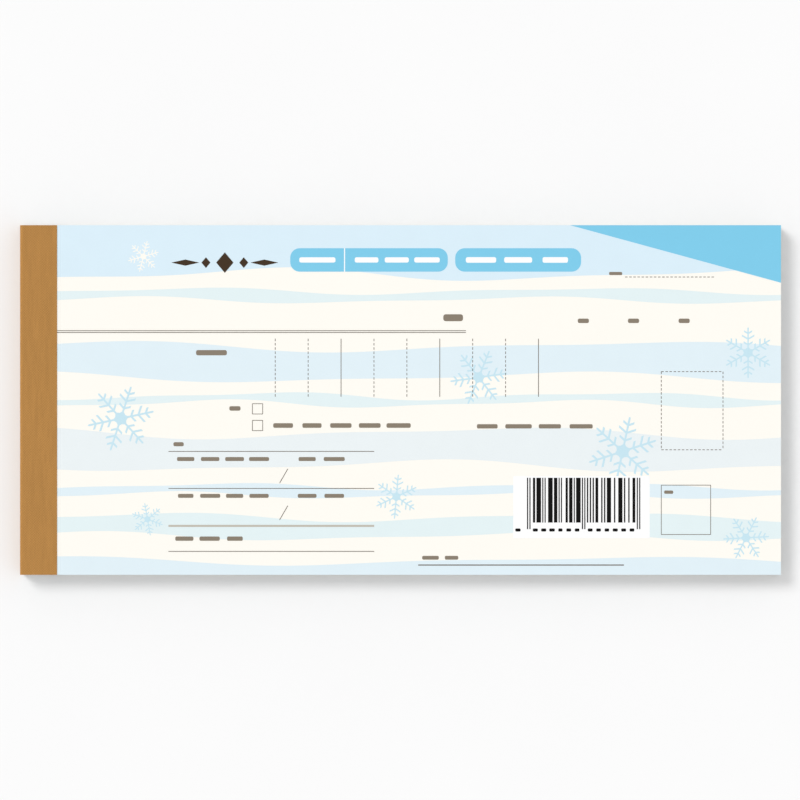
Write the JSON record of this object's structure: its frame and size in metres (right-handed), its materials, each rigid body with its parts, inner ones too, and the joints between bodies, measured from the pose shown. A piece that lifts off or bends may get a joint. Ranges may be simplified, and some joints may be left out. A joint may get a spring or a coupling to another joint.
{
  "type": "carbonless form book",
  "caption": "Slim tape-bound book of paired carbonless forms, with fold-back covers, tear-off receipts and a loose shield card.",
  "frame": {"origin": "middle of the underside, where the closed book rests", "axes": "+X from the bound spine to the fore-edge, +Y up the printed page, +Z out of the front cover"},
  "size_m": [0.185, 0.085, 0.0068],
  "materials": {
    "binding_tape": "matte",
    "cover_card": "satin",
    "receipt_paper": "matte",
    "copy_paper": "matte",
    "back_board": "matte",
    "shield_board": "matte",
    "padding_glue": "satin",
    "staple_wire": "satin"
  },
  "bodies": {
    "root": {"binding_tape": "binding_tape", "spine_glue": "padding_glue", "upper_staple": "staple_wire", "lower_staple": "staple_wire", "front_cover_strip": "cover_card", "back_cover_strip": "back_board", "receipt_stub_01": "receipt_paper", "copy_stub_01": "copy_paper", "receipt_stub_02": "receipt_paper", "copy_stub_02": "copy_paper", "receipt_stub_03": "receipt_paper", "copy_sheet_03": "copy_paper", "form_set_04": "receipt_paper", "form_set_05": "receipt_paper", "form_set_06": "receipt_paper", "form_set_07": "receipt_paper", "form_set_08": "receipt_paper", "form_set_09": "receipt_paper", "form_set_10": "receipt_paper", "form_set_11": "receipt_paper", "form_set_12": "receipt_paper", "form_set_13": "receipt_paper", "form_set_14": "receipt_paper", "form_set_15": "receipt_paper", "form_set_16": "receipt_paper", "form_set_17": "receipt_paper", "form_set_18": "receipt_paper", "form_set_19": "receipt_paper", "form_set_20": "receipt_paper", "form_set_21": "receipt_paper", "form_set_22": "receipt_paper", "form_set_23": "receipt_paper", "form_set_24": "receipt_paper", "form_set_25": "receipt_paper", "form_set_26": "receipt_paper", "form_set_27": "receipt_paper", "form_set_28": "receipt_paper", "form_set_29": "receipt_paper", "form_set_30": "receipt_paper", "form_set_31": "receipt_paper", "form_set_32": "receipt_paper", "form_set_33": "receipt_paper", "form_set_34": "receipt_paper", "form_set_35": "receipt_paper", "form_set_36": "receipt_paper", "form_set_37": "receipt_paper", "form_set_38": "receipt_paper", "form_set_39": "receipt_paper", "form_set_40": "receipt_paper"},
    "front_cover": {"front_cover": "cover_card"},
    "receipt_margin_01": {"receipt_margin_01": "receipt_paper"},
    "receipt_sheet_01": {"receipt_sheet_01": "receipt_paper"},
    "copy_sheet_01": {"copy_sheet_01": "copy_paper"},
    "receipt_margin_02": {"receipt_margin_02": "receipt_paper"},
    "receipt_sheet_02": {"receipt_sheet_02": "receipt_paper"},
    "copy_sheet_02": {"copy_sheet_02": "copy_paper"},
    "receipt_sheet_03": {"receipt_sheet_03": "receipt_paper"},
    "back_cover": {"back_cover": "back_board"},
    "shield_card": {"shield_card": "shield_board"}
  },
  "joints": [
    {"name": "front_cover_fold", "type": "hinge", "parent": "root", "child": "front_cover", "pos_m": [-0.0825, 0, 0.0068], "axis": [0, -1, 0], "range_deg": [0, 178]},
    {"name": "receipt_01_fold", "type": "hinge", "parent": "root", "child": "receipt_margin_01", "pos_m": [-0.0825, 0, 0.0068], "axis": [0, -1, 0], "range_deg": [0, 174.9]},
    {"name": "copy_01_fold", "type": "hinge", "parent": "root", "child": "copy_sheet_01", "pos_m": [-0.0825, 0, 0.0068], "axis": [0, -1, 0], "range_deg": [0, 171.4]},
    {"name": "receipt_02_fold", "type": "hinge", "parent": "root", "child": "receipt_margin_02", "pos_m": [-0.0825, 0, 0.0068], "axis": [0, -1, 0], "range_deg": [0, 167.8]},
    {"name": "copy_02_fold", "type": "hinge", "parent": "root", "child": "copy_sheet_02", "pos_m": [-0.0825, 0, 0.0068], "axis": [0, -1, 0], "range_deg": [0, 164.3]},
    {"name": "receipt_01_tear_off", "type": "slide", "parent": "receipt_margin_01", "child": "receipt_sheet_01", "axis": [1, 0, 0], "range_m": [0, 0.176]},
    {"name": "receipt_02_tear_off", "type": "slide", "parent": "receipt_margin_02", "child": "receipt_sheet_02", "axis": [1, 0, 0], "range_m": [0, 0.176]},
    {"name": "receipt_03_tear_off", "type": "slide", "parent": "root", "child": "receipt_sheet_03", "axis": [1, 0, 0], "range_m": [0, 0.176]},
    {"name": "back_cover_fold", "type": "hinge", "parent": "root", "child": "back_cover", "pos_m": [-0.0825, 0, 0], "axis": [0, 1, 0], "range_deg": [0, 178]},
    {"name": "shield_card_slide", "type": "slide", "parent": "root", "child": "shield_card", "axis": [1, 0, 0], "range_m": [0, 0.176]}
  ],
  "couplings": [
    {"joint": "receipt_01_fold", "follows": "front_cover_fold", "ratio": 0.98},
    {"joint": "copy_01_fold", "follows": "front_cover_fold", "ratio": 0.96},
    {"joint": "receipt_02_fold", "follows": "front_cover_fold", "ratio": 0.94},
    {"joint": "copy_02_fold", "follows": "front_cover_fold", "ratio": 0.92}
  ]
}
